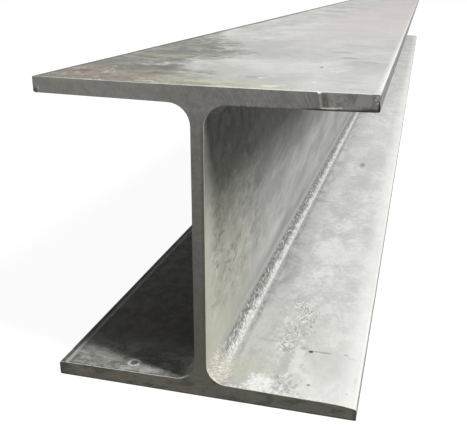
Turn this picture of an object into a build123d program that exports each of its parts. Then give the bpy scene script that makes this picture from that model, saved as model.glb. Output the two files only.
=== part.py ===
from build123d import *
from math import isclose
import os

# One length of hot-rolled steel H-beam, sawn square at both ends.
# Rolled in one piece, so it is one solid. Millimetres.
# X runs across the flanges, Y along the beam and Z up through the web.
# The origin is at the middle of the bottom flange's underside.

# Section. The flanges thin a little from the web's face to their toes.
depth = 200.0
flange_width = 200.0
web_thickness = 8.0
flange_root_thickness = 10.9
flange_toe_thickness = 9.6
root_radius = 13.0
toe_radius = 1.2

# Length as stocked
length = 3000.0

# Where the saw broke out, at one tip of the top flange on the near end:
# the end face drops back a little there, and a lip hangs below the flange.
breakout_width = 31.5
breakout_drop_back = 0.4
lip_width = 37.0
lip_drop = 0.5
lip_thickness = 1.0
lip_run_out = 3.5

near_end = -length / 2
flange_tip = flange_width / 2
web_face = web_thickness / 2


def flange_thickness(across):
    """The flange's thickness this far from the beam's middle line."""
    towards_toe = (across - web_face) / (flange_tip - web_face)
    return flange_root_thickness + towards_toe * (flange_toe_thickness - flange_root_thickness)


def corners_at(shape, distance):
    """The shape's corners that lie this far to either side of its middle line."""
    return [v for v in shape.vertices() if isclose(abs(v.X), distance, rel_tol=1e-6)]


def channel(side):
    """The open space between the flanges on one side of the web, with the middle at zero."""
    at_web = depth / 2 - flange_thickness(web_face)
    at_toe = depth / 2 - flange_thickness(flange_tip)
    edge = Polyline(
        (side * web_face, -at_web),
        (side * flange_tip, -at_toe),
        (side * flange_tip, at_toe),
        (side * web_face, at_web),
        close=True,
    )
    return make_face(edge)


def h_section():
    """The rolled section: two flanges, a web, four root fillets and eight eased toes."""
    outline = Rectangle(flange_width, depth) - channel(1) - channel(-1)
    outline = fillet(corners_at(outline, web_face), root_radius)
    return fillet(corners_at(outline, flange_tip), toe_radius)


def rolled_bar():
    """The section drawn out along Y, lying with its underside on Z = 0."""
    bar = extrude(Plane.XZ * h_section(), amount=length / 2, both=True)
    return Pos(0, 0, depth / 2) * bar


def breakout_cut():
    """What the saw took off the end face near the flange's tip.

    The box is centred on the flange's corner, so it is twice the size of what it takes off.
    """
    box = Box(2 * breakout_width, 2 * breakout_drop_back, 2 * flange_root_thickness)
    return Pos(flange_tip, near_end, depth) * box


def saw_lip():
    """The lip left hanging under the flange's edge, running out towards the web."""
    start = flange_tip - lip_width
    full = start + lip_run_out
    front = Polyline(
        (start, depth - flange_thickness(start)),
        (full, depth - flange_thickness(full) - lip_drop),
        (flange_tip, depth - flange_toe_thickness - lip_drop),
        (flange_tip, depth - flange_toe_thickness + toe_radius),
        (start, depth - flange_toe_thickness + toe_radius),
        close=True,
    )
    lower_right = make_face(front).vertices().sort_by(lambda v: v.X - v.Y)[-1]
    lip = extrude(Plane.XZ * fillet(lower_right, toe_radius), amount=lip_thickness)
    return Pos(0, near_end + breakout_drop_back + lip_thickness, 0) * lip


h_beam = rolled_bar() - breakout_cut() + saw_lip()

os.makedirs("parts", exist_ok=True)
export_step(h_beam, "parts/h_beam.step")
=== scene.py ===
from collections import namedtuple
from functools import partial, reduce
from math import cos, exp, pi, radians, sin, sqrt

import bmesh
import bpy
from bpy.props import FloatProperty, FloatVectorProperty, PointerProperty
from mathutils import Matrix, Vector, noise


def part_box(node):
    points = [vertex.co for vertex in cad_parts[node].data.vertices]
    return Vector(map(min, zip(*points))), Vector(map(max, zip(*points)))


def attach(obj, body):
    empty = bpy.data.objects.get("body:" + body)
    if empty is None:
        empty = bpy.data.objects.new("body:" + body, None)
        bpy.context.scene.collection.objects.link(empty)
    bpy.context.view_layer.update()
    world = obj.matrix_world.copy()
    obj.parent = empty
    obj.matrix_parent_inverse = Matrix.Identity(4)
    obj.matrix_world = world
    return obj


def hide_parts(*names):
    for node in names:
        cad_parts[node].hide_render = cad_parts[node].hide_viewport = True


# A sawn length of hot-rolled steel H-beam, and the plain studio that it is shown in.
# X runs across the flanges, Y along the beam and Z up through the web.

bl_info = {
    "name": "Steel H-Beam",
    "version": (1, 0, 0),
    "blender": (4, 5, 0),
    "location": "3D View > Sidebar > H-Beam",
    "description": "Builds a sawn length of hot-rolled steel H-beam and a plain studio",
    "category": "Add Mesh",
}

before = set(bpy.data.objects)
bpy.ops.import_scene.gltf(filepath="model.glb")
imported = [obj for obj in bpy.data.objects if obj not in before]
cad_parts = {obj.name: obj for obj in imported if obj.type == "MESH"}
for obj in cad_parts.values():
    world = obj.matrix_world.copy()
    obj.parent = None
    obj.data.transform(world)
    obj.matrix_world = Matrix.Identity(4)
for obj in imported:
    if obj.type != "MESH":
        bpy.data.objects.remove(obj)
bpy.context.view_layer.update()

NODE = "h_beam"
MM = 0.001
beam_low, beam_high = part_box(NODE)


# Settings

def setting(name, description, default, **kind):
    return FloatProperty(name=name, description=description, default=default, **kind)


def metres(name, description, default):
    return setting(name, description, default, min=0.0, subtype="DISTANCE", unit="LENGTH", precision=4)


def tilt(name, description, degrees):
    return setting(name, description, radians(degrees), subtype="ANGLE", unit="ROTATION")


def factor(name, description, default):
    return setting(name, description, default, min=0.0, max=1.0, subtype="FACTOR")


def hue(name, description, default):
    return FloatVectorProperty(name=name, description=description, default=default, size=3,
                               min=0.0, max=1.0, subtype="COLOR")


class BeamSizes(bpy.types.PropertyGroup):
    """The rolled section and what the saw did to the near end."""

    width: metres("Width", "Across the flanges", beam_high.x - beam_low.x)
    depth: metres("Depth", "Over both flanges", beam_high.z - beam_low.z)
    length: metres("Length", "Sawn length", beam_high.y - beam_low.y)
    web: metres("Web", "Thickness of the web", 0.008)
    flange_root: metres("Flange at root", "Flange thickness at the web's face", 0.0109)
    flange_toe: metres("Flange at toe", "Flange thickness at the toe", 0.0096)
    root_radius: metres("Root radius", "Fillet at the web", 0.013)
    toe_radius: metres("Toe radius", "Rounding of the toes", 0.0012)
    sharp_toe: metres("Sharp toe", "Rounding of the two sharper toes", 0.0004)
    worn_toe: metres("Worn toe", "Fall of the lower right toe", 0.0014)
    worn_toe_width: metres("Worn toe width", "Width of that fall", 0.016)
    dish: metres("Dish", "Sag of the top face", 0.0005)
    waviness: metres("Waviness", "Height of the long waves", 0.00006)
    cut_edge: metres("Cut edge", "Easing of the sawn edges", 0.00012)
    step_place: metres("Step", "The saw's step, from the web's middle", 0.0685)
    step_slope: metres("Step slope", "Width of its sloping wall", 0.0008)
    step_lean: metres("Step lean", "The step's lean over the flange", 0.0014)
    step_back: metres("Step back", "The tip's depth behind the cut", 0.0004)
    lip_width: metres("Lip width", "Width of the lip under the tip", 0.037)
    lip_run: metres("Lip run-out", "Width over which the lip starts", 0.0035)
    lip_drop: metres("Lip drop", "Drop of the lip", 0.0004)
    lip_roll: metres("Lip roll", "Height of its rolled-under edge", 0.0017)
    tip_roll: metres("Tip roll", "Added height of that edge at the tip", 0.001)
    lip_thickness: metres("Lip thickness", "Thickness of the lip", 0.001)


class BeamFinish(bpy.types.PropertyGroup):
    """Colours of the steel, and of the shade and sheen painted on it."""

    pale: hue("Pale steel", "Clean rolled faces", (0.64, 0.645, 0.62))
    dull: hue("Dull steel", "Clouds on the rolled faces", (0.44, 0.445, 0.425))
    bright: hue("Bright steel", "Edges and strokes worn bare", (0.88, 0.875, 0.85))
    web: hue("Web steel", "The web's faces", (0.34, 0.345, 0.325))
    # Painted shade: the dark colour that the web and its fillets are given under the top flange.
    web_high: hue("Web shade", "The web under the top flange", (0.105, 0.105, 0.095))
    dust: hue("Pale dust", "Dried dust on the web near the cut", (0.46, 0.445, 0.36))
    earth: hue("Brown stain", "Dried dirty water", (0.28, 0.245, 0.195))
    moss: hue("Green-grey stain", "Damp grey dirt", (0.28, 0.28, 0.24))
    plum: hue("Purple-grey stain", "Burnt scale", (0.31, 0.285, 0.28))
    # Painted sheen: a lighter, warmer colour for the right side of the top face away from the cut.
    blush: hue("Warm sheen", "The top face away from the cut", (0.655, 0.605, 0.59))
    sand: hue("Yellow stain", "Pale yellow water stains", (0.60, 0.59, 0.45))
    olive: hue("Olive flecks", "Flecks of dirt on the web", (0.15, 0.14, 0.09))
    slate: hue("Grey blotches", "Dark blotches on the faces", (0.15, 0.15, 0.145))
    # Dark dirt for small grime marks, and also painted shade on the shaded inner face, the upper web and
    # fillets, and the sawn ends.
    soot: hue("Dark dirt and shade", "Grime, and painted shade on the shaded side", (0.068, 0.067, 0.053))
    rust: hue("Rust", "Reddish flecks at the cut", (0.36, 0.20, 0.13))
    sawn: hue("Sawn steel", "The sawn ends", (0.45, 0.44, 0.41))
    sawn_low: hue("Dull sawn steel", "The sawn ends near the ground", (0.235, 0.23, 0.185))
    sawn_dark: hue("Dark sawn steel", "Marks on the sawn ends", (0.16, 0.155, 0.135))


class StudioSettings(bpy.types.PropertyGroup):
    """Lamp, fill light and floor."""

    key_power: setting("Key power", "Power of the tall lamp", 790.0, min=0.0, unit="POWER")
    key_height: tilt("Key elevation", "Its height above the horizon", 44)
    key_turn: tilt("Key turn", "Its turn from +X towards the near end", 14)
    fill: setting("Fill", "Brightness of the sky's soft light", 0.144, min=0.0)
    floor_tone: factor("Floor tone", "How pale the floor is", 0.16)
    floor_glow: factor("Floor glow", "White that the camera and reflections see", 0.94)


# The section's outline

Spot = namedtuple("Spot", "x z out_x out_z part side level number")

# How finely the mesh is divided, in steps of the outline or in millimetres
MIDDLE_COLUMNS = (0.0, 4.2, 8.5, 12.8)
TOE_ARC_STEPS = 4
TOE_ROWS = 5
ROOT_ARC_STEPS = 8
WEB_ROWS = 15
FIRST_RING = 0.35
RING_GROWTH = 1.06
WIDEST_RING = 28.0
CAP_ROWS = (0.038, 0.076, 0.114, 0.143, 0.19, 0.257, 0.38, 0.52, 0.66, 0.8, 0.93)


def graded(start, end, first, last):
    """Places after start, up to end, whose spacing goes evenly from first to last."""
    count = round(2 * (end - start) / (first + last))
    steps = [first + (last - first) * (i + 0.5) / count for i in range(count)]
    scale = (end - start) / sum(steps)
    return [start + scale * sum(steps[: i + 1]) for i in range(count)]


def fade(value, low, high):
    """0 below low and 1 above high, with a smooth rise between."""
    t = min(max((value - low) / (high - low), 0.0), 1.0)
    return t * t * (3 - 2 * t)


class Section:
    """The rolled section, in millimetres, with its middle at zero."""

    def __init__(self, sizes):
        for name in BeamSizes.__annotations__:
            setattr(self, name, getattr(sizes, name) / MM)
        self.tip = self.width / 2
        self.face = self.web / 2
        self.root_end = self.face + self.root_radius
        self.toe_start = self.tip - self.toe_radius
        self.step_near = self.step_place - self.step_slope / 2
        self.step_far = self.step_place + self.step_slope / 2
        self.columns = [self.root_end]
        self.columns += graded(self.root_end, self.step_near - 1.3, 4.2, 3.0)
        self.columns += [self.step_near - 0.4, self.step_near, self.step_far, self.step_far + 0.4]
        self.columns += graded(self.step_far + 0.4, self.toe_start, 2.6, 1.4)

    def lean(self, x):
        """How far a column leans each way to follow the step's line."""
        return self.step_lean / 2 * exp(-((x - self.step_place) / 6.0) ** 2)

    def thickness(self, x, side, level):
        """The flange's thickness, with the lower right toe's fall."""
        share = (x - self.face) / (self.tip - self.face)
        thick = self.flange_root + share * (self.flange_toe - self.flange_root)
        if side > 0 and level < 0:
            worn = max(x - (self.tip - self.worn_toe_width), 0.0) / self.worn_toe_width
            thick -= self.worn_toe * worn ** 2
        return thick

    def lip_share(self, x):
        """How much of the lip's height has started at x."""
        start = self.tip - self.lip_width
        return fade(x, start, start + self.lip_run)

    def quarter(self, side, level):
        """From the middle of a flange's outer face, round its toe, to the middle of the web."""
        spots = []

        def add(x, z, out_x, out_z, part, number):
            spots.append(Spot(side * x, level * z, side * out_x, level * out_z, part, side, level, number))

        def arc(x, z, radius, start, end, count, part):
            """Spots on an arc, without its two ends. A negative radius bends inwards."""
            way = 1 if radius > 0 else -1
            for i in range(1, count):
                angle = start + (end - start) * i / count
                out_x, out_z = cos(angle), sin(angle)
                add(x + abs(radius) * out_x, z + abs(radius) * out_z, way * out_x, way * out_z, part, i)

        half = self.depth / 2
        toe = half - self.thickness(self.toe_start, side, level) + self.toe_radius
        root = half - self.thickness(self.root_end, side, level) - self.root_radius
        outer = self.sharp_toe if side * level < 0 else self.toe_radius
        for i, x in enumerate(MIDDLE_COLUMNS):
            add(x, half, 0, 1, "middle", i)
        for i, column in enumerate(self.columns):
            add(column - self.lean(column), half, 0, 1, "outer", i)
        arc(self.tip - outer, half - outer, outer, pi / 2, 0, TOE_ARC_STEPS, "toe")
        for i in range(TOE_ROWS):
            add(self.tip, half - outer + (toe - half + outer) * i / (TOE_ROWS - 1), 1, 0, "toe", i)
        arc(self.toe_start, toe, self.toe_radius, 0, -pi / 2, TOE_ARC_STEPS, "toe")
        for i, column in reversed(list(enumerate(self.columns))):
            x = column + self.lean(column)
            add(x, half - self.thickness(x, side, level), 0, -1, "inner", i)
        arc(self.root_end, root, -self.root_radius, pi / 2, pi, ROOT_ARC_STEPS, "root")
        for i in range(WEB_ROWS + 1):
            add(self.face, root * (1 - i / WEB_ROWS), 1, 0, "web", i)
        return spots

    def outline(self):
        """The whole outline, counter-clockwise as seen from the near end."""
        low_right = self.quarter(1, -1)
        top_right = self.quarter(1, 1)[-2::-1]
        top_left = self.quarter(-1, 1)[1:]
        low_left = self.quarter(-1, -1)[-2:0:-1]
        return low_right + top_right + top_left + low_left


# The bar's surface

def stations(length):
    """Distances from the near cut, close together at both cuts."""
    half = [0.0]
    step = FIRST_RING
    while half[-1] + step < length / 2:
        half.append(half[-1] + step)
        step = min(step * RING_GROWTH, WIDEST_RING)
    return half + [length / 2] + [length - s for s in reversed(half)]


def rough(x, y, z, size, seed):
    """Noise from -1 to 1 with lumps about this many millimetres wide."""
    return noise.noise(Vector((x / size + seed, y / size - seed, z / size + 2 * seed)))


class Bar:
    """Moves the section's outline in where the real bar is wavy, nicked or sawn."""

    def __init__(self, section):
        self.section = section

    def inwards(self, spot, y):
        """How far the surface lies inside the true section."""
        s = self.section
        to_cut = min(y, s.length - y)
        lie = s.waviness * (1 - rough(spot.x, y * 0.45, spot.z, 55, 3.1))
        lie += 0.3 * s.waviness * (1 - rough(spot.x, y, spot.z, 17, 8.3))
        if spot.part == "toe":
            lie += 0.09 * (1 - rough(spot.side, y, spot.level, 190, 5.7))
            lie += 0.05 * (1 - rough(spot.side, y, spot.level, 21, 1.9))
            nick = max(rough(spot.x * 0.3, y, spot.z * 0.3, 7.5, 6.4) - 0.42, 0)
            lie += 1.6 * nick * (0.35 + fade(60 - to_cut, 0, 60))
        return lie

    def sag(self, spot):
        """The dish of the top flange's upper face."""
        if spot.level < 0 or spot.part not in ("middle", "outer"):
            return 0.0
        return self.section.dish * (1 - (spot.x / self.section.tip) ** 2)

    def lip(self, x, z, y):
        """How far the saw's lip hangs under the top flange."""
        s = self.section
        hangs = s.lip_share(x) * (1 - fade(y, s.lip_thickness, s.lip_thickness + 0.5))
        ragged = 1 - 0.25 * abs(rough(x, 0, 0, 4.5, 2.2))
        tip_curl = 1 - 0.9 * fade(x, s.tip - 2.4, s.tip)
        high = s.depth / 2
        return s.lip_drop * hangs * ragged * tip_curl * (1 - fade(z, high - 9.0, high - 4.5))

    def notch(self, x, y):
        """The nick of the saw's step in the top face's front edge."""
        away = abs(x - self.section.step_place + self.section.step_lean / 2)
        return 0.8 * (1 - fade(away, 0.3, 1.2)) * (1 - fade(y, 0.3, 2.2))

    def set_back(self, x, z):
        """How far the end face drops back beyond the saw's step."""
        s = self.section
        if z < 0:
            return 0.0
        thick = s.thickness(x, 1, 1)
        low = s.depth / 2 - thick
        lean = s.step_lean * (low + thick / 2 - z) / thick
        behind = fade(x - lean, s.step_near, s.step_far)
        curl_ends = fade(x, s.step_place + 9, s.step_place + 13)
        above_curl = fade(z, low + 1.0, low + 1.6)
        return s.step_back * behind * max(above_curl, curl_ends)

    def roll(self, x, z):
        """How far the lip's front edge rolls back under the flange."""
        s = self.section
        if x < 0 or z < 0:
            return 0.0
        low = s.depth / 2 - s.thickness(x, 1, 1) - s.lip_drop
        high = s.lip_roll + s.tip_roll * fade(x, s.tip - 16, s.tip - 2)
        share = min(max((low + high - z) / high, 0.0), 1.0)
        return 0.8 * high * s.lip_share(x) * share ** 2.2

    def chip(self, x, z):
        """What the broken corner of the top flange's right toe lost."""
        near = sqrt((x - self.section.tip) ** 2 + (z - self.section.depth / 2 + 2.2) ** 2)
        return (1 - fade(near, 0.6, 2.6)) * (0.75 + 0.35 * rough(x, 0, z, 0.8, 4.2))

    def dent(self, x, z):
        """How far the near end's broken-out tip lies behind the cut."""
        return self.set_back(x, z) + self.roll(x, z) + 0.5 * self.chip(x, z)

    def sawn(self, x, z, far):
        """Depth of the end face behind the plane of the cut."""
        lie = 0.04 * (1 - rough(x * 0.5, 0, z, 16, 7.7 + far))
        lie += 0.02 * (1 - rough(x, 0, z, 3, 9.1))
        return lie if far else lie + self.dent(x, z)

    def place(self, spot, y, eased=0.0):
        """A point of the bar's surface, y millimetres from the near cut."""
        lie = self.inwards(spot, y) + eased
        x = spot.x - spot.out_x * lie
        z = spot.z - spot.out_z * lie - self.sag(spot)
        if spot.side > 0 and spot.level > 0:
            z -= self.lip(spot.x, spot.z, y)
            if spot.part == "outer":
                z -= self.notch(spot.x, y)
            if spot.part == "toe":
                x -= self.chip(spot.x, spot.z) * (1 - fade(y, 0.8, 3.2))
        return x, z

    def point(self, x, y, z):
        """Millimetres from the near cut and the section's middle, in the frame's metres."""
        s = self.section
        return Vector((x * MM, (y - s.length / 2) * MM, (z + s.depth / 2) * MM))


def along(bar, spot, y):
    """Where a ring's point stands. The first rings follow the set-back tip."""
    x, z = bar.place(spot, y)
    if spot.x > 0 and spot.level > 0 and spot.part in ("outer", "inner", "toe"):
        y = y + bar.dent(*bar.place(spot, 0.0)) * (1 - fade(y, 0.0, 6.0))
    return bar.point(x, y, z)


def cap(mesh, bar, rim, outline, far):
    """The sawn end: flanges as rows of small faces, and one face for web and roots."""
    number = {(p.side, p.level, p.part, p.number): i for i, p in enumerate(outline)}
    last = len(bar.section.columns) - 1
    faces = []
    chains = {}
    for side in (1, -1):
        for level in (1, -1):
            for i in range(last + 1):
                inner = rim[number[side, level, "inner", i]]
                outer = rim[number[side, level, "outer", i]]
                chain = [inner]
                for share in CAP_ROWS:
                    place = inner.co.lerp(outer.co, share)
                    x, z = place.x / MM, place.z / MM - bar.section.depth / 2
                    y = bar.sawn(x, z, far)
                    chain.append(mesh.verts.new(bar.point(x, bar.section.length - y if far else y, z)))
                chains[side, level, i] = chain + [outer]
            for i in range(last):
                a, b = chains[side, level, i], chains[side, level, i + 1]
                for j in range(len(a) - 1):
                    faces.append(mesh.faces.new((a[j], a[j + 1], b[j + 1], b[j])))
            toe = [rim[i] for i, p in enumerate(outline)
                   if p.part == "toe" and (p.side, p.level) == (side, level)]
            chain = chains[side, level, last]
            faces.append(mesh.faces.new(toe + (chain if side * level < 0 else chain[::-1])))
    middle = []
    for i, spot in enumerate(outline):
        key = (spot.side, spot.level, 0)
        if spot.part in ("middle", "root", "web"):
            middle.append(rim[i])
        elif spot.number == 0 and spot.part == "outer" and spot.side * spot.level < 0:
            middle += chains[key][::-1]
        elif spot.number == 0 and spot.part == "inner" and spot.side * spot.level > 0:
            middle += chains[key]
    faces.append(mesh.faces.new(middle))
    return faces


def build_bar(sizes):
    """The whole bar as one closed mesh: rolled faces in slot 0, sawn ends in slot 1."""
    section = Section(sizes)
    bar = Bar(section)
    outline = section.outline()
    mesh = bmesh.new()
    places = stations(section.length)
    rings = []
    for y in places[1:-1]:
        rings.append([mesh.verts.new(along(bar, spot, y)) for spot in outline])
    rims = []
    for far in (False, True):
        ring = []
        for spot in outline:
            cut = section.length if far else 0.0
            ragged = section.cut_edge * (1 + 0.5 * rough(spot.x, 0, spot.z, 2.5, 4.4 + far))
            x, z = bar.place(spot, cut, ragged)
            depth = bar.sawn(x, z, far)
            ring.append(mesh.verts.new(bar.point(x, cut - depth if far else depth, z)))
        rims.append(ring)
    rings = [rims[0]] + rings + [rims[1]]
    count = len(outline)
    sawn = []
    for k in range(len(rings) - 1):
        a, b = rings[k], rings[k + 1]
        at_cut = k in (0, len(rings) - 2)
        for i in range(count):
            j = (i + 1) % count
            face = mesh.faces.new((a[i], b[i], b[j], a[j]))
            if at_cut:
                sawn.append(face)
    for ring, far in ((rims[0], False), (rims[1], True)):
        sawn += cap(mesh, bar, ring, outline, far)
    for face in mesh.faces:
        face.smooth = True
    for face in sawn:
        face.material_index = 1
    bmesh.ops.recalc_face_normals(mesh, faces=mesh.faces)
    data = bpy.data.meshes.new("h_beam_bar")
    mesh.to_mesh(data)
    mesh.free()
    data.set_sharp_from_angle(angle=radians(35))
    return data


# Short calls for shader nodes

SOCKETS = {"value": "NodeSocketFloat", "place": "NodeSocketVector"}


class Graph:
    """Adds nodes to a tree. What is put in a socket is a number or another node's output."""

    def __init__(self, tree):
        self.tree = tree

    def put(self, socket, value):
        if isinstance(value, bpy.types.NodeSocket):
            self.tree.links.new(value, socket)
        else:
            socket.default_value = value

    def node(self, kind, inputs=None, **settings):
        made = self.tree.nodes.new(kind)
        for name, value in settings.items():
            setattr(made, name, value)
        for name, value in (inputs or {}).items():
            self.put(made.inputs[name], value)
        return made

    def math(self, operation, *values):
        made = self.node("ShaderNodeMath", dict(enumerate(values)), operation=operation)
        return made.outputs[0]

    def vector(self, operation, *values):
        made = self.node("ShaderNodeVectorMath", dict(enumerate(values)), operation=operation)
        return made.outputs[1 if operation in ("LENGTH", "DISTANCE", "DOT_PRODUCT") else 0]

    def plus(self, a, b):
        return self.math("ADD", a, b)

    def minus(self, a, b):
        return self.math("SUBTRACT", a, b)

    def either(self, a, b):
        """Where one of two masks is, or both."""
        return self.math("MAXIMUM", a, b)

    def size(self, value):
        """The value without its sign."""
        return self.math("ABSOLUTE", value)

    def from_half(self, value):
        """How far a noise is from 0.5, which it crosses along thin lines."""
        return self.size(self.minus(value, 0.5))

    def ramp(self, value, none, full, share=1, least=0):
        """Goes smoothly from least, where the value is at none, to share, where it is at full."""
        inputs = {"Value": value, "From Min": none, "From Max": full, "To Min": least, "To Max": share}
        return self.node("ShaderNodeMapRange", inputs, interpolation_type="SMOOTHSTEP").outputs[0]

    def band(self, value, low, high, soft):
        """1 between low and high, with soft edges."""
        return self.both((value, low - soft, low + soft), (value, high + soft, high - soft))

    def turned(self, place, axis, degrees):
        """The place turned about one axis."""
        return self.node("ShaderNodeVectorRotate", {"Vector": place, "Angle": radians(degrees)},
                         rotation_type=axis + "_AXIS").outputs[0]

    def noise(self, place, size, detail=2.0, roughness=0.5, distortion=0.0):
        """Noise from 0 to 1 with lumps of this size: one number, or one for each axis."""
        if isinstance(size, tuple):
            place = self.vector("DIVIDE", place, size)
            size = 1.0
        inputs = {"Vector": place, "Scale": 1 / size, "Detail": detail, "Roughness": roughness,
                  "Distortion": distortion}
        return self.node("ShaderNodeTexNoise", inputs).outputs["Fac"]

    def mix(self, share, a, b):
        """Goes from colour a to colour b."""
        return self.node("ShaderNodeMix", {0: share, 6: a, 7: b}, data_type="RGBA").outputs[2]

    def triple(self, x, y, z):
        """One place from three numbers."""
        return self.node("ShaderNodeCombineXYZ", {"X": x, "Y": y, "Z": z}).outputs[0]

    def parts(self, place):
        """The three numbers of a place."""
        return tuple(self.node("ShaderNodeSeparateXYZ", {0: place}).outputs)

    def both(self, *masks):
        """Where all of the masks are. What stands in brackets is given to ramp first."""
        masks = [self.ramp(*mask) if isinstance(mask, tuple) else mask for mask in masks]
        return reduce(partial(self.math, "MULTIPLY"), masks)

    def use(self, group, **inputs):
        """Places a node group in this tree and returns its outputs."""
        return self.node("ShaderNodeGroup", inputs, node_tree=group).outputs


def new_group(name, inputs, outputs):
    """An empty node group. Returns its graph, its input sockets by name and its output node."""
    tree = bpy.data.node_groups.new(name, "ShaderNodeTree")
    for way, sockets in (("INPUT", inputs), ("OUTPUT", outputs)):
        for socket, kind in sockets.items():
            tree.interface.new_socket(socket, in_out=way, socket_type=SOCKETS[kind])
    graph = Graph(tree)
    given = graph.node("NodeGroupInput").outputs
    return graph, given, graph.node("NodeGroupOutput").inputs


def empty_graph(owner):
    """The node tree of a new material or world, with nothing in it."""
    owner.use_nodes = True
    owner.node_tree.nodes.clear()
    return Graph(owner.node_tree)


# Effects that more than one material uses

def clouded_group():
    """Clouds of the given size, mottling a fifth as large, and grain."""
    g, given, out = new_group("Clouded Steel", {"Place": "place", "Size": "value"},
                              {"Cloud": "value", "Mottle": "value", "Grain": "value"})
    place = g.vector("DIVIDE", given["Place"], given["Size"])
    g.put(out["Cloud"], g.ramp(g.noise(place, (1, 1.3, 1), 4, 0.55, 0.6), 0.32, 0.68))
    g.put(out["Mottle"], g.ramp(g.noise(place, 0.2, 5, 0.62, 0.5), 0.34, 0.66))
    g.put(out["Grain"], g.ramp(g.noise(place, 0.02, 3, 0.7), 0.3, 0.7))
    return g.tree


def patch_group():
    """A stain with a ragged edge, round one place."""
    g, given, out = new_group(
        "Stain Patch",
        {"Place": "place", "Centre": "place", "Size": "place", "Ragged": "value"},
        {"Mask": "value"})
    away = g.vector("DIVIDE", g.vector("SUBTRACT", given["Place"], given["Centre"]), given["Size"])
    torn = g.minus(g.noise(given["Place"], 5, 4, 0.65), 0.5)
    reach = g.plus(g.vector("LENGTH", away), g.both(torn, given["Ragged"]))
    g.put(out["Mask"], g.ramp(reach, 1.15, 0.65))
    return g.tree


def strokes_group():
    """Fine strokes side by side. Their length lies along the place's first axis."""
    g, given, out = new_group(
        "Strokes", {"Place": "place", "Length": "value", "Spacing": "value"}, {"Mask": "value"})
    size = g.triple(given["Length"], given["Spacing"], given["Spacing"])
    lines = g.noise(g.vector("DIVIDE", given["Place"], size), 1, 3, 0.6, 0.3)
    g.put(out["Mask"], g.ramp(lines, 0.38, 0.64))
    return g.tree


def build_effects():
    """The node groups, built once for all of the materials."""
    return {"clouded": clouded_group(), "patch": patch_group(), "strokes": strokes_group()}


# Materials

# Heights of the faces that stains lie on, and how far a stain reaches up and down
TOP_LEVEL = 200
TREAD_LEVEL = 10
STAIN_REACH = 30

# The photograph's clearest marks: place across and along, half their width and length, and strength
TOP_BLOTCHES = (
    (53.6, 104, 1.4, 4.5, 0.6), (66, 163, 8, 5, 0.4), (75, 122, 7, 3, 0.18), (55, 205, 10, 5, 0.34),
    (60, 268, 12, 6, 0.2), (84, 139, 8, 5, 0.16), (80, 40, 9, 3, 0.14), (22, 44, 6, 7, 0.2),
    (88, 14, 7, 2.5, 0.2),
)
TOP_FLAKES = ((26.4, 42, 2, 3.4, 0.65), (38, 12, 5, 4, 0.65), (60, 33, 2, 2, 0.65))
TREAD_SPOTS = (
    (62.5, 55, 1.8, 1.5, 1), (70, 56.2, 8, 1, 0.4), (56.5, 58, 2.6, 2.2, 0.3), (87, 57.5, 2.2, 1.4, 0.4),
    (91.5, 54, 4, 1, 0.34), (67.3, 15.6, 1.4, 1.2, 0.6), (57, 89, 1.2, 1.4, 0.5), (33, 62, 12, 1.6, 0.16),
    (92, 13, 1.3, 1.6, 0.3), (96, 29, 1.3, 4, 0.3), (54, 555, 4, 13, 0.4),
)

# Bright specks on the broken-out tip of the end face: place across, height and half their width
TIP_SPECKS = ((97.9, 198.5, 0.7), (97.2, 197, 0.6), (98.4, 195.3, 0.5))


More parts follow.
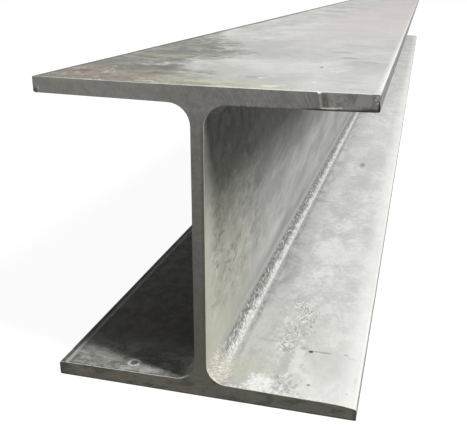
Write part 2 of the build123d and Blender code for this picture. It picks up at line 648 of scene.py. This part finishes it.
class Skin:
    """A steel surface whose colour, height and gloss are built up layer by layer."""

    def __init__(self, name, sizes, finish, effects):
        self.material = bpy.data.materials.new(name)
        self.g = g = empty_graph(self.material)
        self.shader = g.node("ShaderNodeBsdfPrincipled")
        g.node("ShaderNodeOutputMaterial", {"Surface": self.shader.outputs[0]})
        self.finish = finish
        self.effects = effects
        here = g.node("ShaderNodeTexCoord").outputs["Object"]
        middle = (0, sizes.length / 2 / MM, 0)
        self.place = g.vector("MULTIPLY_ADD", here, (1 / MM, 1 / MM, 1 / MM), middle)
        self.x, self.y, self.z = g.parts(self.place)
        self.normal = g.parts(g.node("ShaderNodeNewGeometry").outputs["Normal"])
        far = g.minus(sizes.length / MM, self.y)
        self.to_cut = g.math("MINIMUM", self.y, far)
        self.colour = self.shade("pale")
        self.height = 0
        self.gloss = 0
        self.metal = 0

    def clouds(self, size):
        return self.g.use(self.effects["clouded"], Place=self.place, Size=size)

    def noise(self, across, along, detail, roughness=0.5, distortion=0.0):
        """Noise whose lumps are this wide across the section and this long along the bar."""
        return self.g.noise(self.place, (across, along, across), detail, roughness, distortion)

    def patch(self, centre, size, ragged):
        made = self.g.use(self.effects["patch"], Place=self.place, Centre=centre, Size=size, Ragged=ragged)
        return made["Mask"]

    def stain(self, level, across, along, wide, long, ragged=1.6):
        """A patch on the flat face at this level."""
        return self.patch((across, along, level), (wide, long, STAIN_REACH), ragged)

    def ring(self, centre, radius, width):
        """A thin broken ring round one place."""
        away = self.g.vector("DISTANCE", self.place, centre)
        torn = self.g.noise(self.place, 2.6, 3, 0.6)
        reach = self.g.plus(away, self.g.both(self.g.minus(torn, 0.5), radius))
        closed = self.g.band(reach, radius - width, radius + width, 0.5)
        return self.g.both(closed, (torn, 0.4, 0.5))

    def strokes(self, place, length, spacing):
        made = self.g.use(self.effects["strokes"], Place=place, Length=length, Spacing=spacing)
        return made["Mask"]

    def shade(self, colour):
        """One of the finish's colours with full alpha, as sockets want it."""
        return (*getattr(self.finish, colour), 1)

    def paint(self, colour, *masks):
        """Lays one of the finish's colours where all of the masks are."""
        self.colour = self.g.mix(self.g.both(*masks), self.colour, self.shade(colour))

    def brush(self, *masks):
        """A short call that paints only where these masks are."""
        return lambda colour, *more: self.paint(colour, *masks, *more)

    def raise_by(self, amount, *masks):
        """Adds to the height, in millimetres, where all of the masks are."""
        self.height = self.g.plus(self.height, self.g.both(amount, *masks))

    def polish(self, amount, *masks):
        """Takes away roughness and bares the metal where all of the masks are."""
        self.gloss = self.g.plus(self.gloss, self.g.both(amount, *masks))
        self.metal = self.g.either(self.metal, self.g.both(*masks))

    def finished(self, roughness, metallic, specular):
        """Wires what was built up to the shader and returns the material."""
        g, inputs = self.g, self.shader.inputs
        g.put(inputs["Base Color"], self.colour)
        g.put(inputs["Roughness"], g.minus(roughness, self.gloss))
        g.put(inputs["Metallic"], g.both(self.metal, metallic))
        inputs["Specular IOR Level"].default_value = specular
        bump = g.node("ShaderNodeBump", {"Height": self.height, "Strength": 1, "Distance": MM})
        g.put(inputs["Normal"], bump.outputs[0])
        return self.material


def mill_skin(sizes, finish, effects):
    """The rolled faces: pale clouded steel with stains, flecks, marks and worn edges, and painted shade,
    highlights and sheen.
    """
    skin = Skin("Mill skin", sizes, finish, effects)
    g, x, z, paint = skin.g, skin.x, skin.z, skin.paint
    depth = sizes.depth / MM
    across = g.size(x)
    deep = g.math("MINIMUM", z, g.minus(depth, z))
    up = g.ramp(skin.normal[2], 0.4, 0.8)
    right = g.ramp(x, -0.5, 0.5)
    left = g.ramp(x, 0.5, -0.5)
    top = g.both(up, (z, 150, 152))
    tread = g.both(up, (z, 52, 50))
    web = g.both((across, 5.5, 4.5), (deep, 21, 24))
    broad = skin.clouds(110)
    close = skin.clouds(40)
    fine = skin.clouds(14)
    mottle = fine["Mottle"]

    # the plain skin of all the rolled faces
    paint("dull", (broad["Cloud"], 1, 0, 0.42))
    paint("dull", (close["Mottle"], 0.9, 0.1, 0.45))
    paint("dull", (mottle, 0.9, 0.1, 0.3))
    paint("bright", (close["Mottle"], 0.5, 1, 0.3))
    paint("bright", (mottle, 0.55, 1, 0.2))
    paint("slate", (fine["Grain"], 0.5, 1, 0.1))
    skin.raise_by(0.035, close["Mottle"])
    skin.raise_by(0.02, mottle)
    skin.raise_by(0.012, fine["Grain"])

    paint_top(skin, top)
    paint_tread(skin, g.both(tread, right))
    paint_web(skin, web, right)
    paint_shaded_tread(skin, g.both(tread, left), mottle)
    paint_roots(skin, across, deep, right)
    paint_edges(skin, across, mottle)
    return skin.finished(g.ramp(close["Mottle"], 1, 0, 0.72, 0.6), 0.3, 0.15)


def paint_top(skin, top):
    """The top face: brown and grey washes on its left, yellow stains at the cut, small marks, painted
    sheen, painted highlights along its front and right edges and painted shade along its left edge.
    """
    g, x, y = skin.g, skin.x, skin.y
    paint, stain = skin.brush(top), partial(skin.stain, TOP_LEVEL)
    calm = skin.noise(70, 100, 3)
    paint("pale", (calm, 0.6, 0.36, 0.75, 0.35))
    drifts = skin.noise(44, 84, 5, 0.52, 0.5)
    paint("dull", (drifts, 0.54, 0.34, 0.6))
    paint("bright", (drifts, 0.5, 0.68, 0.36))
    # Painted sheen: lighter on the right of the top face near the cut.
    paint("bright", (x, -20, 60), (y, 160, 60, 0.24))
    paint("dull", (x, -40, 30), (y, 60, 200, 0.24))
    paint("dull", g.band(x, -30, 55, 15), (y, 120, 40, 0.32))

    edge = g.plus(g.ramp(y, 30, 0, 6, -14), g.ramp(y, 50, 85, -22))
    edge = g.plus(edge, g.ramp(y, 110, 150, 12))
    edge = g.plus(edge, g.ramp(y, 150, 400, -84))
    torn = g.minus(g.noise(skin.place, 24, 8, 0.72, 0.3), 0.5)
    inside = g.plus(g.minus(x, edge), g.both(torn, 100))
    dye = skin.brush(g.both(top, (inside, 18, -22)))
    fray = skin.brush(g.both(top, g.band(inside, -26, 4, 12), (y, 15, 50)))
    tint = g.noise(skin.place, 34, 5, 0.6)
    soak = skin.noise(13, 11, 8, 0.7)
    streaked = g.ramp(y, 0, 60, 1, 0.7)
    dye("moss", 0.92)
    dye("plum", (tint, 0.47, 0.6, 0.7))
    dye("earth", (y, 110, 40, 0.85), (x, -10, -70, 1, 0.4))
    dye("sand", streaked, (soak, 0.5, 0.7, 0.5))
    dye("slate", streaked, (soak, 0.54, 0.38, 0.68))
    dye("slate", g.band(y, 50, 240, 20), (tint, 0.43, 0.56, 0.46))
    dye("olive", (tint, 0.46, 0.34, 0.3))
    blot = skin.noise(16, 12, 7, 0.7, 0.3)
    fray("slate", (blot, 0.5, 0.64, 0.55))
    fray("bright", (blot, 0.48, 0.34, 0.6))
    paint("slate", stain(-98, 4, 13, 9, 1.2), 0.5)
    specks = skin.noise(5, 7, 4, 0.65, 0.4)
    fleck = skin.brush(top, stain(-76, 30, 24, 34))
    fleck("olive", (specks, 0.52, 0.66, 0.7))
    fleck("bright", (specks, 0.44, 0.32, 0.6))
    paint("earth", stain(-82, 36, 7, 9), 1)
    paint("olive", stain(-84, 33, 5, 5), 0.9)
    paint("slate", stain(-50, 66, 18, 12, 2.8), 0.55)

    strip = stain(8, 8, 44, 19, 2.6)
    paint("sand", strip, (soak, 0.3, 0.58, 0.84, 0.3))
    paint("moss", strip, (soak, 0.54, 0.4, 0.4, 0.1))
    paint("earth", stain(-7, 8, 16, 5, 2.6), 0.6)
    for *place, strength in TOP_BLOTCHES:
        paint("slate", stain(*place), strength)
    for *place, strength in TOP_FLAKES:
        paint("bright", stain(*place, 2.6), strength)
    dots = g.ramp(skin.noise(3.4, 5, 2, 0.6), 0.5, 0.62)
    # Painted highlight along the worn front edge, in dots and short runs, mostly on the right.
    front = g.ramp(skin.to_cut, 3.6, 1.2)
    paint("bright", front, dots, g.band(x, -69, -57, 2), 0.9)
    paint("bright", front, (x, -50, 10, 0.85), g.either(dots, g.ramp(x, 0, 40)))
    # Painted highlight along the right edge.
    paint("bright", (x, 95, 98), 0.55)
    # Painted shade: a dark band along the left edge, widening away from the cut.
    from_edge = g.minus(x, g.ramp(y, 0, 700, 3.6))
    paint("slate", (from_edge, -94.6, -97.4, 0.85))
    # Painted sheen, warm-tinted, on the right side of the top face away from the cut.
    paint("blush", (y, 120, 500, 0.72), (x, -40, 30))


def paint_tread(skin, tread):
    """The lower flange's lit inner face: soft clouds, a crackled patch, small marks and painted highlights
    at the cut and the toe.
    """
    g, x, y = skin.g, skin.x, skin.y
    paint, stain = skin.brush(tread), partial(skin.stain, TREAD_LEVEL)
    paint("pale", 0.3)
    clouds = skin.noise(40, 76, 6, 0.56, 0.3)
    folds = skin.noise(17, 32, 7, 0.64, 0.3)
    seams = g.from_half(folds)
    paint("dull", (clouds, 0.56, 0.3, 0.6))
    paint("bright", (clouds, 0.48, 0.72, 0.45))
    paint("bright", (seams, 0.035, 0, 0.42), (clouds, 0.36, 0.56))
    paint("bright", (folds, 0.5, 0.72, 0.34))
    paint("dull", (folds, 0.48, 0.3, 0.44))
    shade = g.ramp(y, 60, 170, 1, 0.4)
    paint("dull", (x, 50, 20, 0.56))
    paint("slate", shade, (x, 36, 17, 0.5), (folds, 0.6, 0.38, 1, 0.1))
    paint("bright", (x, 45, 80, 0.42), (y, 150, 30, 1, 0.5))
    paint("bright", (y, 300, 700, 0.14))

    curls = skin.noise(7.6, 13, 4, 0.58, 0.9)
    veins = g.from_half(curls)
    patches = g.either(stain(47, 100, 15, 34, 1.8), stain(45, 60, 7, 12))
    torn = g.ramp(skin.noise(9, 16, 3, 0.6), 0.4, 0.55, 1, 0.25)
    crackled = g.both(tread, patches, torn)
    crack = skin.brush(crackled)
    crack("slate", (veins, 0.06, 0, 0.5))
    crack("slate", (curls, 0.46, 0.3, 0.4))
    crack("bright", g.band(veins, 0.035, 0.09, 0.025), 0.7)
    skin.raise_by(0.06, crackled, (veins, 0, 0.06))
    paint("slate", skin.ring((46, 60, TREAD_LEVEL), 4.2, 0.5), 0.4)
    paint("bright", skin.ring((46, 60, TREAD_LEVEL), 3, 0.5), 0.5)
    paint("bright", stain(55, 40, 4, 27, 2.6), 0.45)
    for *place, strength in TREAD_SPOTS:
        paint("soot", stain(*place, 0.9), strength)

    crystals = skin.noise(2, 3, 4, 0.7, 0.4)
    grit = skin.noise(3.2, 5, 3, 0.6, 0.6)
    paint("sand", stain(22, 24, 18, 17, 3.4), (crystals, 0.35, 0.6, 0.5, 0.1))
    paint("slate", stain(51, 11, 11, 13, 3), (grit, 0.54, 0.4, 0.38))
    paint("bright", stain(51, 11, 11, 13, 3), (grit, 0.54, 0.64, 0.6))
    blob = stain(36.5, 9.5, 10, 11, 2)
    paint("bright", blob, (crystals, 0.36, 0.54, 1, 0.35))
    # Worn bright grains at the cut, made brighter as a painted highlight.
    paint("bright", (skin.to_cut, 4.5, 1.5), (crystals, 0.45, 0.55), 0.7)
    # Painted highlight along the worn toe.
    paint("bright", (x, 80, 96, 0.6))


def paint_web(skin, web, right):
    """The web: darker upwards and near the cut under the top flange as painted shade, with dust and flecks
    near the cut and long smears.
    """
    g, y, z, paint = skin.g, skin.y, skin.z, skin.brush(web)
    # Painted shade: the web's colour goes darker upwards, towards the top flange.
    tone = g.mix(g.ramp(z, 64, 168), skin.shade("web"), skin.shade("web_high"))
    skin.colour = g.mix(g.both(web, 0.95), skin.colour, tone)
    leaning = g.turned(skin.place, "X", -6)
    drift = g.noise(leaning, (60, 120, 26), 4, 0.55, 0.4)
    smear = g.noise(leaning, (20, 64, 12), 3, 0.55, 0.6)
    lower = g.ramp(z, 165, 60, 1, 0.18)
    patchy = g.both(lower, (drift, 0.3, 0.6, 1, 0.4), (z, 34, 62, 1, 0.4))
    paint("pale", (drift, 0.42, 0.68, 0.3), lower)
    paint("slate", (drift, 0.5, 0.3, 0.26))
    paint("pale", (smear, 0.46, 0.74, 0.3), patchy)
    paint("slate", (smear, 0.5, 0.3, 0.15))
    near = g.ramp(skin.to_cut, 150, 20)
    paint("dust", near, (z, 160, 90, 0.75, 0.05))
    # Painted shadow: the upper web near the cut is darkened further.
    paint("soot", (y, 340, 30, 0.85), (z, 118, 196, 0.9))

    spots = g.noise(leaning, (7, 10.5, 6), 5, 0.64, 0.8)
    films = g.noise(leaning, (9, 17, 9), 5, 0.6, 0.6)
    height = g.band(z, 46, 138, 22)
    spot = skin.brush(web, right, height, (y, 4, 20), (y, 220, 60, 1, 0.1))
    spot("pale", (films, 0.48, 0.66, 0.5), lower)
    spot("slate", (films, 0.48, 0.34, 0.28))
    spot("olive", (spots, 0.52, 0.66, 0.56))
    spot("dust", (spots, 0.46, 0.32, 0.5))
    paint("slate", (y, 30, 90), (z, 44, 24, 0.4))
    skin.raise_by(0.05, web, smear)


def paint_shaded_tread(skin, tread, mottle):
    """The lower flange's other inner face: painted shade, with dark and pale scribbles near the cut."""
    g, x, y = skin.g, skin.x, skin.y
    paint, stain = skin.brush(tread), partial(skin.stain, TREAD_LEVEL)
    # Painted shade: the whole face is darkened, a little less near the cut.
    paint("soot", (y, 20, 60, 1, 0.68))
    paint("olive", 0.14)
    patches = skin.noise(22, 15, 5, 0.6, 0.8)
    scribble = skin.brush(tread, (y, 42, 20))
    scribble("dull", (patches, 0.42, 0.62, 0.42))
    scribble("soot", (patches, 0.48, 0.36, 0.6))
    curls = skin.noise(13, 9, 3, 0.6, 0.9)
    lines = g.from_half(curls)
    scribble("pale", (lines, 0.04, 0, 0.4), (patches, 0.4, 0.54))
    wisps = skin.noise(20, 9, 6, 0.62, 0.4)
    scribble("pale", (wisps, 0.52, 0.66, 0.36))
    scribble("soot", (wisps, 0.5, 0.38, 0.6))
    paint("bright", skin.ring((-50.3, 10.5, TREAD_LEVEL), 3.6, 0.8), 0.75)
    paint("soot", stain(-50.3, 10.8, 2.4, 2, 0.8), 0.5)
    scribble("soot", (mottle, 0.45, 0.9, 0.3))
    paint("soot", (skin.to_cut, 2.6, 0.8, 0.75), (curls, 0.44, 0.52))
    paint("dull", g.band(x, -95.8, -93.2, 0.5), 0.8)
    paint("soot", g.band(x, -98.6, -96.2, 0.5), 0.7)
    paint("pale", (x, -98.6, -99.6, 0.8))


def paint_roots(skin, across, deep, right):
    """The fillets: a band of coarse dark grain beside a ragged bright stripe, partly a painted highlight,
    and painted shade on the upper fillets.
    """
    g, y, z = skin.g, skin.y, skin.z
    reach_x = g.minus(17, across)
    reach_z = g.minus(23.7, deep)
    root = g.both((reach_x, -1, 0.6), (reach_z, -0.5, 1), (across, 3, 3.9), (deep, 9.3, 10.2))
    turn = g.math("ARCTAN2", reach_z, reach_x)
    paint = skin.brush(root)
    paint("web", (turn, 1.35, 1.15), 0.9)
    # Painted shade: the upper fillets, under the top flange, get the web's shade colour, darker still near
    # the cut.
    paint("web_high", (z, 60, 140), 0.95)
    paint("soot", (z, 60, 140), (y, 460, 60, 0.8))
    worked = g.both(root, (right, 0, 1, 1, 0.25), (z, 140, 60, 1, 0.35))
    unrolled = g.triple(y, g.math("MULTIPLY", turn, 13), 0)
    leaning = g.turned(unrolled, "Z", 48)
    strokes = skin.strokes(leaning, 3, 0.8)
    grains = skin.strokes(leaning, 1.9, 1.1)
    flakes = g.noise(unrolled, (5.5, 2.4, 1), 4, 0.66, 0.4)
    wander = g.noise(unrolled, (13, 5, 1), 4, 0.68)
    heavy = g.ramp(y, 30, 120, 1, 0.5)
    ragged = g.plus(turn, g.both(g.minus(strokes, 0.5), 0.3))
    ragged = g.plus(ragged, g.both(g.minus(wander, 0.5), 1.1))
    coarse = g.band(turn, 0.38, 0.86, 0.12)
    work, grain = skin.brush(worked), skin.brush(worked, coarse)
    work("slate", (turn, 0, 0.4), heavy, 0.3)
    grain("slate", heavy, 0.6)
    grain("soot", heavy, (grains, 0.7, 0.1, 0.5))
    grain("soot", heavy, (flakes, 0.52, 0.4, 0.7))
    grain("pale", (flakes, 0.52, 0.66, 0.7))
    grain("dull", (grains, 0.55, 1, 0.5))
    # A ragged stripe of bare worn metal, mostly on the lower right fillet, made brighter still as a
    # painted highlight.
    stripe = g.both((ragged, g.ramp(y, 60, 300, 0.95, 0.84), 1.02), (turn, 1.28, 1.18))
    work("dull", stripe, 0.9)
    work("bright", stripe, (strokes, 0, 0.9, 0.76, 0.1), (flakes, 0.36, 0.5, 1, 0.4))
    beside = g.band(turn, 1.3, 1.5, 0.06)
    work("dull", beside, 0.6)
    work("slate", beside, heavy, (flakes, 0.46, 0.6, 0.7, 0.1))

    hairs = g.noise(leaning, (1.1, 6, 1), 5, 0.75, 1.6)
    tinted = g.noise(skin.place, 4, 2, 0.5)
    tangle = skin.brush(root, right, (z, 62, 60), (y, 42, 10))
    tangle("dust", 0.75)
    tangle("bright", (hairs, 0.5, 0.62, 0.85))
    tangle("olive", (hairs, 0.46, 0.36, 0.5))
    tangle("rust", (tinted, 0.5, 0.62), (hairs, 0.5, 0.4, 0.7, 0.1), (y, 20, 8, 0.8))
    skin.raise_by(0.12, worked, (turn, 1.35, 1.2), strokes)
    skin.raise_by(0.12, worked, coarse, grains)
    skin.polish(0.12, worked, stripe, strokes)


def paint_edges(skin, across, mottle):
    """The toes' dull sides, painted highlights on the right-hand corners, and cut edges worn bright with a
    painted highlight.
    """
    g = skin.g
    paint, sideways = skin.paint, g.size(skin.normal[0])
    toe = g.ramp(across, 97, 98)
    paint("slate", toe, (sideways, 0.45, 0.8), (mottle, 1, 0, 0.95, 0.75))
    # Painted highlight on the toes' corners, on the right-hand side only.
    corner = g.both(toe, g.band(sideways, 0.22, 0.42, 0.12), (mottle, 0.1, 0.6), (skin.x, -1, 1))
    paint("bright", corner, 0.4)
    skin.polish(0.12, corner)
    # The cut edges worn bright, with a painted highlight on top of the wear.
    worn = g.both((skin.to_cut, 0.9, 0.2), (mottle, 0, 0.5, 1, 0.4))
    paint("bright", worn, 0.7)
    skin.polish(0.12, worn)


def sawn_steel(sizes, finish, effects):
    """The sawn ends: grey-brown, duller towards the ground, with fine strokes of the saw, painted shade
    along the top flange's lower edge and at the floor, and painted highlights on edges.
    """
    skin = Skin("Sawn steel", sizes, finish, effects)
    g, x, y, z, paint = skin.g, skin.x, skin.y, skin.z, skin.paint
    across = g.size(x)
    near = g.ramp(y, 20, 10)
    flat = g.ramp(g.size(skin.normal[1]), 0.55, 0.85)
    close = skin.clouds(34)
    fine = skin.clouds(9)
    mottle = fine["Mottle"]
    skin.colour = g.mix(g.ramp(z, 30, 194), skin.shade("sawn_low"), skin.shade("sawn"))
    paint("sawn_dark", (close["Mottle"], 0.2, 0.9, 0.28))
    paint("sawn_dark", (mottle, 0.3, 0.9, 0.16))
    upper = skin.brush(near, (z, 185, 188))
    lower = skin.brush(near, (z, 16, 12))
    at_tip = skin.brush(near, (z, 185, 186))
    upper("earth", (x, -40, -92, 0.2, 0.06))
    upper("pale", (x, 0, -40, 0.26))
    upper("sawn_dark", (x, 25, 45, 0.08))
    upper("sand", (z, 196.5, 199.4), g.band(x, -92, -62, 6), 0.55)
    upper("soot", skin.patch((-98.4, 0, 191.4), (1.6, 9, 2), 0.3), 0.7)
    upper("bright", skin.patch((-96.2, 0, 193.4), (0.8, 9, 1.3), 0.2), 0.5)
    blots = g.noise(skin.place, (13, 13, 5), 5, 0.66, 0.5)
    lower("soot", (blots, 0.5, 0.62, 0.55))
    lower("earth", (blots, 0.54, 0.42, 0.6), (x, 20, -20, 1, 0.3))
    lower("sawn", (blots, 0.42, 0.32, 0.62), (x, 20, -20, 1, 0.4))
    # Painted shade along the end face's foot, where it meets the floor.
    lower("soot", (z, 1.6, 0.4, 0.7))
    lower("soot", (across, 96.4, 98.6, 0.6))
    turned = g.turned(skin.place, "Y", -62)
    strokes = skin.strokes(turned, 14, 1.1)
    marked = g.both(strokes, (z, 150, 185, 1, 0.2), (x, 5, 25, 1, 0.3), (x, 68, 60, 1, 0.25))
    paint("pale", marked, 0.26)
    skin.raise_by(0.03, marked)
    skin.raise_by(0.02, mottle)
    web = g.ramp(across, 7, 5)
    paint("sawn_dark", web, g.band(z, 25, 178, 8), 0.25)
    paint("sawn_dark", web, g.band(x, 2.2, 4.2, 0.5), g.band(z, 25, 178, 8), 0.5)
    step = g.plus(x, g.both(0.14, g.minus(z, 195)))
    block = g.both(g.band(step, 69.4, 72.3, 0.3), g.band(z, 191.8, 198.6, 0.6))
    at_tip("sawn_dark", block, (mottle, 1, 0, 0.75, 0.4))
    at_tip("bright", (x, 70, 74), (close["Mottle"], 0.8, 0.3, 0.22))
    # Painted shade under the lip of the top flange's end face.
    under = g.ramp(x, 84, 98, 191.4, 190.4)
    at_tip("soot", (x, 59, 62), (g.minus(z, under), 0.6, 0, 0.75))
    # Painted highlight along the lip's curled edge.
    curl = g.minus(z, g.ramp(x, 73, 81, 192, 191.15))
    at_tip("bright", g.band(x, 69, 80, 1), g.band(curl, -0.25, 0.25, 0.2), 0.7)
    for place, high, wide in TIP_SPECKS:
        at_tip("bright", skin.patch((place, 0, high), (wide, 9, wide), 0.1), 0.9)
    at_tip("soot", (x, 98.4, 98.8), g.band(z, 190.5, 197, 0.5), 0.7)
    # Painted shade along the lower edge of the top flange's end face, under the burr.
    from_low = g.minus(z, g.math("MULTIPLY_ADD", x, 0.0135, 189.05))
    burr_shade = g.both(g.band(x, 15, 61, 4), (g.plus(from_low, mottle), 1.5, 0.4, 0.6))
    at_tip("soot", burr_shade)
    # The eased edges worn bright, with a painted highlight where they face up.
    eased = g.minus(1, flat)
    above = g.ramp(skin.normal[2], -0.1, 0.2)
    paint("bright", eased, above, (mottle, 0, 0.6, 0.6, 0.15))
    skin.polish(0.12, eased, above)
    return skin.finished(g.ramp(fine["Grain"], 0, 1, 0.7, 0.6), 0.3, 0.2)


def seen_white(g, *kinds):
    """1 for what the camera or a reflection sees, or another named kind of ray."""
    seen = g.node("ShaderNodeLightPath").outputs
    return reduce(g.either, [seen[kind] for kind in ("Is Camera Ray", "Is Glossy Ray", *kinds)])


def pale_floor(studio):
    """A pale floor that the camera and reflections see as white, with the beam's soft shadow."""
    material = bpy.data.materials.new("Pale floor")
    g = empty_graph(material)
    tone = studio.floor_tone
    matt = g.node("ShaderNodeBsdfDiffuse", {"Color": (tone, tone, tone, 1)})
    strength = g.both(seen_white(g), studio.floor_glow)
    glow = g.node("ShaderNodeEmission", {"Strength": strength})
    both = g.node("ShaderNodeAddShader", {0: matt.outputs[0], 1: glow.outputs[0]})
    g.node("ShaderNodeOutputMaterial", {"Surface": both.outputs[0]})
    return material


# The studio

def new_object(name, data):
    """A new object in the scene."""
    made = bpy.data.objects.new(name, data)
    bpy.context.scene.collection.objects.link(made)
    return made


# Metres, degrees and the lens in millimetres
FLOOR_REACH = 40
LAMP_REACH = 8
LAMP_WIDTH = 1
LAMP_LENGTH = 4.4
AIM_HEIGHT = 0.1
SENSOR_WIDTH = 36
LENS = 50.126
LENS_SHIFT = (-0.0569, -0.0112)
CAMERA_PLACE = (0.11615, -1.83795, 0.25475)
CAMERA_TURN = (70.662, -0.980, 13.515)


def set_world(studio):
    """Soft fill light from all round, which the camera and reflections see as white."""
    world = bpy.data.worlds.new("Pale room")
    g = empty_graph(world)
    shown = seen_white(g, "Is Transmission Ray")
    strength = g.math("MULTIPLY_ADD", shown, 1 - studio.fill, studio.fill)
    sky = g.node("ShaderNodeBackground", {"Color": (1, 1, 1, 1), "Strength": strength})
    g.node("ShaderNodeOutputWorld", {"Surface": sky.outputs[0]})
    bpy.context.scene.world = world


def add_floor(studio):
    """A large square under the beam."""
    ways = ((-1, -1), (1, -1), (1, 1), (-1, 1))
    corners = [(FLOOR_REACH * x, FLOOR_REACH * y, 0) for x, y in ways]
    data = bpy.data.meshes.new("studio_floor")
    data.from_pydata(corners, [], [(0, 1, 2, 3)])
    data.materials.append(pale_floor(studio))
    floor = new_object("studio_floor", data)


def add_key(studio):
    """One tall narrow soft lamp, high on the right and a little in front."""
    aim = Vector((0, beam_low.y, AIM_HEIGHT))
    turn, rise = studio.key_turn, studio.key_height
    way = Vector((cos(rise) * cos(turn), -cos(rise) * sin(turn), sin(rise)))
    lamp = bpy.data.lights.new("key_lamp", "AREA")
    lamp.shape = "RECTANGLE"
    lamp.size = LAMP_WIDTH
    lamp.size_y = LAMP_LENGTH
    lamp.energy = studio.key_power
    key = new_object("key_lamp", lamp)
    key.location = aim + way * LAMP_REACH
    key.rotation_euler = way.to_track_quat("Z", "Y").to_euler()


def add_camera():
    """The photograph's view of the near end, from a little above and to the right."""
    data = bpy.data.cameras.new("camera")
    data.sensor_width = SENSOR_WIDTH
    data.lens = LENS
    data.shift_x, data.shift_y = LENS_SHIFT
    camera = new_object("camera", data)
    camera.location = CAMERA_PLACE
    camera.rotation_euler = [radians(turn) for turn in CAMERA_TURN]
    bpy.context.scene.camera = camera


# Operators and panel

class HBEAM_OT_build(bpy.types.Operator):
    """Build the beam with its steel finish"""

    bl_idname = "h_beam.build"
    bl_label = "Build Beam"

    def execute(self, context):
        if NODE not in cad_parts:
            raise RuntimeError("The packed model has no node named " + NODE)
        sizes = context.scene.h_beam_sizes
        finish = context.scene.h_beam_finish
        effects = build_effects()
        data = build_bar(sizes)
        data.materials.append(mill_skin(sizes, finish, effects))
        data.materials.append(sawn_steel(sizes, finish, effects))
        bar = new_object("h_beam_bar", data)
        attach(bar, "root")
        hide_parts(NODE)
        return {"FINISHED"}


class HBEAM_OT_stage(bpy.types.Operator):
    """Set up the pale floor, the lamp and the camera"""

    bl_idname = "h_beam.stage"
    bl_label = "Set Up Studio"

    def execute(self, context):
        studio = context.scene.h_beam_studio
        context.scene.view_settings.view_transform = "Standard"
        set_world(studio)
        add_floor(studio)
        add_key(studio)
        add_camera()
        return {"FINISHED"}


class HBEAM_PT_panel(bpy.types.Panel):
    """Sizes, colours and the studio, with a button to build each"""

    bl_idname = "HBEAM_PT_panel"
    bl_label = "Steel H-Beam"
    bl_space_type = "VIEW_3D"
    bl_region_type = "UI"
    bl_category = "H-Beam"

    def draw(self, context):
        scene = context.scene
        parts = (
            (scene.h_beam_sizes, "Sizes"),
            (scene.h_beam_finish, "Steel"),
            (scene.h_beam_studio, "Studio"),
        )
        for settings, title in parts:
            box = self.layout.box()
            box.label(text=title)
            for name in type(settings).__annotations__:
                box.prop(settings, name)
        self.layout.operator(HBEAM_OT_build.bl_idname)
        self.layout.operator(HBEAM_OT_stage.bl_idname)


CLASSES = (BeamSizes, BeamFinish, StudioSettings, HBEAM_OT_build, HBEAM_OT_stage, HBEAM_PT_panel)


def register():
    for cls in CLASSES:
        bpy.utils.register_class(cls)
    bpy.types.Scene.h_beam_sizes = PointerProperty(type=BeamSizes)
    bpy.types.Scene.h_beam_finish = PointerProperty(type=BeamFinish)
    bpy.types.Scene.h_beam_studio = PointerProperty(type=StudioSettings)


def unregister():
    del bpy.types.Scene.h_beam_studio
    del bpy.types.Scene.h_beam_finish
    del bpy.types.Scene.h_beam_sizes
    for cls in reversed(CLASSES):
        bpy.utils.unregister_class(cls)


def main():
    register()
    bpy.ops.h_beam.stage()
    bpy.ops.h_beam.build()


if __name__ == "__main__":
    main()
